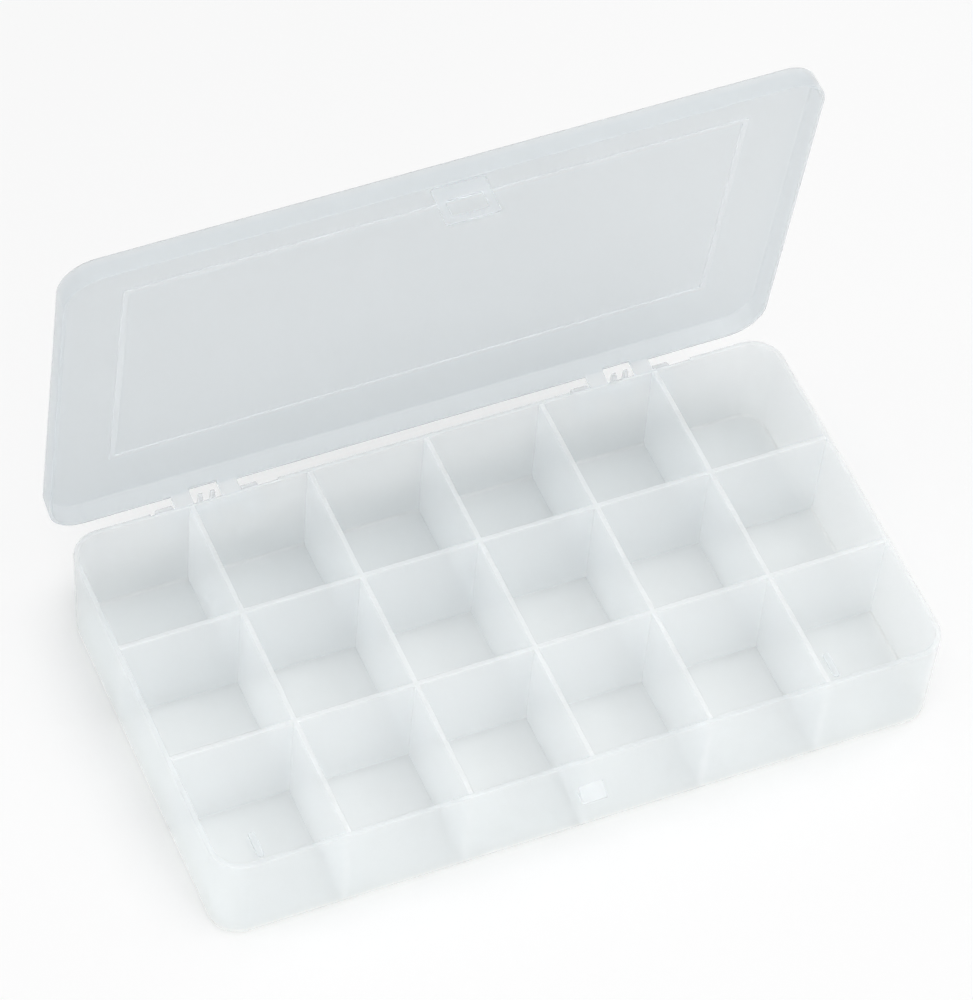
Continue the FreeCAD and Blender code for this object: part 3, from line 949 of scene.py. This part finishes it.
    def build(self, finish: Material, ribs: Material, details: Material) -> list[Dressed]:
        """Builds the whole tray: the open box and the details that are moulded on it.

        Args:
            finish: Material of the floor and the walls.
            ribs: Material of the dividers.
            details: Material of the hinge pieces, the catch and the floor marks.

        Returns:
            Each piece, in metres, in the model's frame, with the names of the nodes that it stands for.
        """
        half = self.catch_width / 2
        catch = prism("catch_nose", list(self.catch_outline), -half, half, self.catch_softness)
        across, along = self.dividers(ribs)
        pockets = self.hinge.recesses(finish, self.half[1], self.height)
        stay = Matrix.Identity(4)
        box = ("tray_floor", "front_wall", "back_wall", "left_end_wall", "right_end_wall")
        return [
            (moulded(self.shell(), [(pockets, Join.TAKE)], stay, finish), box),
            (moulded(along, [(across, Join.ADD)], stay, ribs), ("long_divider", "front_cross", "back_cross")),
            (moulded(self.hinge.cheeks(details), [], stay, details), ("hinge_cheek",)),
            (moulded(self.hinge.hooks(details), [], stay, details), ("hinge_hook",)),
            (moulded(catch, [], stay, details), ("latch_catch",)),
            (moulded(self.pips(details), [], stay, details), ("floor_pip",)),
        ]


@dataclass
class Lid:
    """The cap lid with its frame rib and hinge arms, made shut and stood open. Lengths are in millimetres.

    Attributes:
        tray: The tray that it shuts over.
        hinge: The hinges on which it turns.
        opened: Angle from shut to the photographed pose, in degrees.
        rim: Height of its rim above the hinge axis.
        under: Height of the panel's inside above the axis, with the panel's thickness.
        wall: Thickness of the skirt, with its clearance round the tray and its draft.
        upper_round: Rounding of the top edge, with those of the rim and the inside.
        frame_end: From the lid's edge to the frame's middle line, at the ends, the front and the rear.
        frame_width: Width of the frame rib, with its height, corner radius, rounding and sink.
    """

    tray: Tray
    hinge: Hinge
    opened: float = 82.8
    rim: float = 4.58
    under: float = 10.13
    panel: float = 1.2
    wall: float = 1.0
    clearance: float = 0.35
    draft: float = 0.3
    upper_round: float = 0.9
    rim_round: float = 0.28
    inner_round: float = 0.6
    frame_end: float = 19.25
    frame_front: float = 18.4
    frame_rear: float = 21.0
    frame_width: float = 1.7
    frame_height: float = 0.35
    frame_corner: float = 0.6
    frame_round: float = 0.2
    frame_sink: float = 0.4

    @property
    def overhang(self) -> float:
        """How far the lid's rim stands outside the tray's rim."""
        return self.clearance + self.draft + self.wall

    @property
    def block(self) -> RoundBlock:
        """The lid's outline at its rim, from the hinge axis."""
        half_x, half_y = self.tray.half
        back = half_y - self.hinge.axis[0] + self.overhang
        front = -half_y - self.hinge.axis[0] - self.overhang
        reach = half_x + self.overhang
        return RoundBlock((-reach, front), (reach, back), self.tray.corner + self.overhang)

    @property
    def place(self) -> Matrix:
        """Where the shut lid's frame, on the hinge axis, stands in the photographed pose."""
        turn = Matrix.Rotation(math.radians(-self.opened), 4, "X")
        return Matrix.Translation((0, self.hinge.axis[0], self.hinge.axis[1])) @ turn

    def lean(self, height: float) -> float:
        """How far the skirt has drawn in at a height."""
        return self.draft * min(max((height - self.rim) / (self.under - self.rim), 0.0), 1.0)

    def shell(self) -> Object:
        """The cap: panel and skirt with round edges.

        Returns:
            The cap as an object, in the shut lid's frame.
        """
        top = self.under + self.panel
        big, edge, inner = self.upper_round, self.rim_round, self.inner_round
        profile = arc((big, top - big), big, 90, 180)
        profile += arc((edge, self.rim + edge), edge, 180, 270)
        profile += arc((self.wall - edge, self.rim + edge), edge, 270, 360)
        profile += arc((self.wall + inner, self.under - inner), inner, 180, 90)
        skin = Skin()
        for inset, height in profile:
            skin.add([Vector((x, y, height)) for x, y in self.block.ring(inset + self.lean(height))])
        skin.cap()
        return skin.close("lid_moulding")

    def frame_rib(self) -> Object:
        """The thin raised frame on the inside of the panel.

        Returns:
            The frame as an object, in the shut lid's frame.
        """
        block = self.block
        half = self.frame_width / 2
        outer = RoundBlock(
            (block.low[0] + self.frame_end - half, block.low[1] + self.frame_front - half),
            (block.high[0] - self.frame_end + half, block.high[1] - self.frame_rear + half),
            self.frame_corner,
            4,
        )
        edge = self.frame_round
        low, high = self.under - self.frame_height, self.under + self.frame_sink
        profile = [(0.0, high)] + arc((edge, low + edge), edge, 180, 270, 3)
        profile += arc((self.frame_width - edge, low + edge), edge, 270, 360, 3)
        profile.append((self.frame_width, high))
        skin = Skin()
        for inset, height in profile:
            skin.add([Vector((x, y, height)) for x, y in outer.ring(inset)])
        skin.loop()
        return skin.close("lid_frame")

    def build(self, finish: Material, details: Material) -> list[Dressed]:
        """Builds the whole lid: the cap and the details that are moulded on it.

        Args:
            finish: Material of the panel and the skirts.
            details: Material of the frame rib, the hinge arms and the bars.

        Returns:
            Each piece, in metres, in the model's frame, with the names of the nodes that it stands for.
        """
        outer = self.block.high[1]
        cuts = self.hinge.notches(finish, outer, self.rim)
        arms = self.hinge.arms(details, outer - self.wall, outer, self.rim)
        bars = self.hinge.bars(details)
        cap = ("lid_panel", "lid_front_skirt", "lid_back_skirt", "lid_left_skirt", "lid_right_skirt")
        return [
            (moulded(self.shell(), [(cuts, Join.TAKE)], self.place, finish), cap),
            (moulded(self.frame_rib(), [], self.place, details), ("lid_frame_rib",)),
            (moulded(arms, [(bars, Join.ADD)], self.place, details), ("hinge_arm", "hinge_bar")),
        ]


@dataclass
class Latch:
    """The tongue at the lid's front edge, with the window that drops over the catch, all in millimetres.

    Attributes:
        lid: The lid that it bends on.
        width: Width of the tongue, with its length from the lid's rim and its corner radius.
        root_gap: Gap between the rim and the tongue's root.
        window_width: Width of the window, with its drop from the rim, height and corner radius.
        edge: Rounding of all its edges.
    """

    lid: Lid
    width: float = 15.5
    length: float = 12.0
    corner: float = 1.0
    root_gap: float = 0.3
    window_width: float = 10.0
    window_drop: float = 5.0
    window_height: float = 4.75
    window_corner: float = 0.5
    edge: float = 0.35

    def build(self, finish: Material) -> list[Dressed]:
        """Builds the tongue as a plate with round edges round its outline and its window.

        Args:
            finish: Its material.

        Returns:
            The tongue, in metres, in the model's frame, with the name of the node that it stands for.
        """
        rim = self.lid.rim
        half, opening = self.width / 2, self.window_width / 2
        outer = RoundBlock((-half, rim - self.length), (half, rim - self.root_gap), self.corner, 6)
        top = rim - self.window_drop
        window = RoundBlock((-opening, top - self.window_height), (opening, top), self.window_corner, 6)
        near = self.lid.block.low[1]
        far = near + self.lid.wall
        edge = self.edge
        rounds = arc((edge, far - edge), edge, 180, 90, 4)
        back = [(inset, near + far - y) for inset, y in rounds]
        skin = Skin()
        for inset, y in rounds:
            skin.add([Vector((x, y, z)) for x, z in outer.ring(inset)])
        for inset, y in reversed(rounds):
            skin.add([Vector((x, y, z)) for x, z in window.ring(-inset)])
        for inset, y in back:
            skin.add([Vector((x, y, z)) for x, z in window.ring(-inset)])
        for inset, y in reversed(back):
            skin.add([Vector((x, y, z)) for x, z in outer.ring(inset)])
        skin.loop()
        return [(moulded(skin.close("tongue_moulding"), [], self.lid.place, finish), ("latch_tongue",))]


@dataclass
class Studio:
    """Plain pale floor, soft light and the camera of the photograph.

    Attributes:
        camera_place: The fitted camera's place, in metres, and its turn, in radians.
        focal_pixels: Its focal length in pixels of the photograph, on a sensor of this height in millimetres.
        sky: Strength of the surround as a light.
        white_share: Share of the floor that shows as white to the eye.
        shadow_reach: How far the floor looks for things that shade it, in metres.
        open_range: Openness at which the floor is fully shaded and fully open.
        shade_colour: Colour of the floor where the occlusion is full, painted shade, and in the open.
        floor_half: Half the floor's width, with its place below the object, in metres.
        layers: Number of see-through skins that one line of sight may cross.
        aim: The point that all lamps face.
        lamps: Name, place, width in metres and power in watts of each soft box.
    """

    camera_place: tuple[float, float, float] = (-0.38663, -0.73217, 1.12079)
    camera_turn: tuple[float, float, float] = (0.665221, -0.060076, -0.399831)
    focal_pixels: float = 5131.76
    sensor: float = 36.0
    sky: float = 0.04
    white_share: float = 0.75
    shadow_reach: float = 0.15
    open_range: tuple[float, float] = (0.50, 0.74)
    shade_colour: Colour = (0.90, 0.90, 0.89)
    floor_colour: Colour = (0.92, 0.92, 0.92)
    floor_half: float = 4.0
    floor_drop: float = 0.0003
    floor_rough: float = 0.9
    layers: int = 32
    aim: tuple[float, float, float] = (0.0, 0.0, 0.03)
    lamps: tuple[tuple[str, tuple[float, float, float], float, float], ...] = (
        ("top_box", (0.0, 0.0, 1.60), 1.2, 9.0),
        ("right_box", (1.03, 0.0, 1.23), 1.2, 7.7),
        ("corner_box", (0.73, -0.73, 1.23), 1.2, 5.3),
        ("front_box", (0.0, -1.50, 0.55), 1.2, 11.2),
        ("left_box", (-1.50, 0.0, 0.55), 1.2, 13.3),
    )

    def camera(self) -> None:
        """Places the camera as the photograph's fitted one."""
        lens = bpy.data.cameras.new("photo_camera")
        lens.sensor_fit = "VERTICAL"
        lens.sensor_height = self.sensor
        lens.sensor_width = self.sensor
        lens.lens = self.focal_pixels / IMAGE_HEIGHT * self.sensor
        lens.clip_start = 0.05
        lens.clip_end = 20.0
        eye = bpy.data.objects.new("photo_camera", lens)
        eye.location = self.camera_place
        eye.rotation_euler = Euler(self.camera_turn, "XYZ")
        bpy.context.scene.collection.objects.link(eye)
        bpy.context.scene.camera = eye

    @staticmethod
    def seen(tree: NodeTree) -> NodeSocket:
        """Adds nodes that tell rays which show the background.

        Args:
            tree: The node tree of the floor or the world.

        Returns:
            A value that is 1 for glossy, transmitted and unveiled camera rays and 0 for the rest.
        """
        path = tree.nodes.new("ShaderNodeLightPath")
        first, second = sum_node(tree, "MAXIMUM"), sum_node(tree, "MAXIMUM")
        bare = sum_node(tree, "LESS_THAN", 0.5)
        direct = sum_node(tree, "MULTIPLY")
        wire(
            tree,
            (path, "Transparent Depth", bare, 0),
            (path, "Is Camera Ray", direct, 0),
            (bare, 0, direct, 1),
            (direct, 0, first, 0),
            (path, "Is Glossy Ray", first, 1),
            (first, 0, second, 0),
            (path, "Is Transmission Ray", second, 1),
        )
        return second.outputs[0]

    def world(self) -> None:
        """Makes an even white surround that lights the box and shows as white."""
        world = bpy.data.worlds.new("white_surround")
        world.use_nodes = True
        tree = world.node_tree
        back = tree.nodes["Background"]
        level = tree.nodes.new("ShaderNodeMapRange")
        fill(level, {"To Min": self.sky, "To Max": 1.0})
        fill(back, {"Color": (1.0, 1.0, 1.0, 1.0)})
        tree.links.new(self.seen(tree), level.inputs["Value"])
        tree.links.new(level.outputs["Result"], back.inputs["Strength"])
        bpy.context.scene.world = world

    def floor(self) -> None:
        """Makes the pale floor, white to the eye and still able to take a shadow; near the object ambient
        occlusion darkens its colour and fades its white glow, a painted shadow.
        """
        work = bmesh.new()
        bmesh.ops.create_grid(work, x_segments=2, y_segments=2, size=self.floor_half)
        bmesh.ops.translate(work, verts=work.verts, vec=(0, 0, -self.floor_drop))
        ground = shown("floor", work)
        paint = bpy.data.materials.new("pale_floor")
        paint.use_nodes = True
        tree = paint.node_tree
        shader = tree.nodes["Principled BSDF"]
        fill(shader, {"Roughness": self.floor_rough, "Specular IOR Level": 0.0})
        glow = tree.nodes.new("ShaderNodeEmission")
        mix = tree.nodes.new("ShaderNodeMixShader")
        part = sum_node(tree, "MULTIPLY", self.white_share)
        # Ambient occlusion darkens the floor's colour and fades its white glow near the object and under it:
        # painted shadow.
        near = tree.nodes.new("ShaderNodeAmbientOcclusion")
        fill(near, {"Distance": self.shadow_reach})
        open_sky = tree.nodes.new("ShaderNodeMapRange")
        fill(open_sky, {"From Min": self.open_range[0], "From Max": self.open_range[1]})
        shade = tree.nodes.new("ShaderNodeMix")
        shade.data_type = "RGBA"
        fill(shade, {"A": (*self.shade_colour, 1.0), "B": (*self.floor_colour, 1.0)})
        white = sum_node(tree, "MULTIPLY")
        tree.links.new(self.seen(tree), white.inputs[0])
        wire(
            tree,
            (near, "AO", open_sky, "Value"),
            (open_sky, "Result", shade, "Factor"),
            (shade, "Result", shader, "Base Color"),
            (open_sky, "Result", white, 1),
            (white, 0, part, 0),
            (part, 0, mix, "Fac"),
            (shader, "BSDF", mix, 1),
            (glow, "Emission", mix, 2),
            (mix, "Shader", tree.nodes["Material Output"], "Surface"),
        )
        ground.data.materials.append(paint)

    def light(self) -> None:
        """Hangs the soft boxes, each turned to the middle of the object."""
        aim = Vector(self.aim)
        for name, place, size, power in self.lamps:
            lamp = bpy.data.lights.new(name, "AREA")
            lamp.shape = "SQUARE"
            lamp.size = size
            lamp.energy = power
            thing = bpy.data.objects.new(name, lamp)
            thing.location = place
            thing.rotation_euler = (aim - Vector(place)).to_track_quat("-Z", "Y").to_euler()
            bpy.context.scene.collection.objects.link(thing)

    def build(self) -> None:
        """Sets up the whole studio."""
        bpy.context.scene.view_settings.view_transform = "Standard"
        bpy.context.scene.cycles.transparent_max_bounces = self.layers
        self.camera()
        self.world()
        self.floor()
        self.light()


def ride(pieces: list[Dressed], body: Body) -> None:
    """Hands finished pieces to their body and hides the solids that they stand for.

    Args:
        pieces: The finished pieces, each with the starts of the names of its nodes.
        body: The body that they move with.
    """
    members = frame["record"]["behaviour"]["bodies"][body.value]
    for piece, starts in pieces:
        nodes = [name for name in members if name.startswith(starts)]
        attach(piece, body.value)
        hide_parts(*nodes)
        faces = len(piece.data.polygons)
        log.info("%s rides on %s, stands for %d nodes, %d faces", piece.name, body.value, len(nodes), faces)


def main() -> None:
    """Builds the pieces in order, dresses them and sets up the studio."""
    logging.basicConfig(level=logging.INFO, format="%(message)s")
    grain = MouldGrain()
    thin = FloorClear()
    maker = EvenRow()
    tray_plastic = Plastic("tray_plastic_milky", "tray_plastic", floor_body=0.38)
    # A paler copy of the same plastic: painted light that lifts the dividers, the moulded details and the
    # lid's frame, arms and bars.
    painted_light_plastic = replace(tray_plastic, clear=PAINTED_LIGHT_CLEAR, milky=PAINTED_LIGHT_MILKY, floor_body=None, veil=BRIGHT_VEIL)
    rib_plastic = replace(painted_light_plastic, name="tray_plastic_ribs", body=0.46)
    seat_plastic = replace(painted_light_plastic, name="tray_plastic_details", body=0.24)
    # The lid's veil darkens what shows through it: a cool tint with painted shade.
    lid_plastic = Plastic("lid_plastic_milky", "lid_plastic", body=0.38, veil=COOL_SHADED_VEIL)
    strap_plastic = replace(
        painted_light_plastic, name="lid_plastic_details", slot="lid_plastic", body=0.36, scatter=0.5
    )
    latch_plastic = Plastic("latch_plastic_milky", "latch_plastic", body=0.11, veil=BRIGHT_VEIL)
    walls, ribs, seats = (made.material(grain, thin) for made in (tray_plastic, rib_plastic, seat_plastic))
    cap, straps, tongue = (made.material(grain, thin) for made in (lid_plastic, strap_plastic, latch_plastic))
    hinge = Hinge(maker)
    tray = Tray(maker, hinge)
    lid = Lid(tray, hinge)
    ride(tray.build(walls, ribs, seats), Body.TRAY)
    ride(lid.build(cap, straps), Body.LID)
    ride(Latch(lid).build(tongue), Body.LATCH)
    Studio().build()


if __name__ == "__main__":
    main()
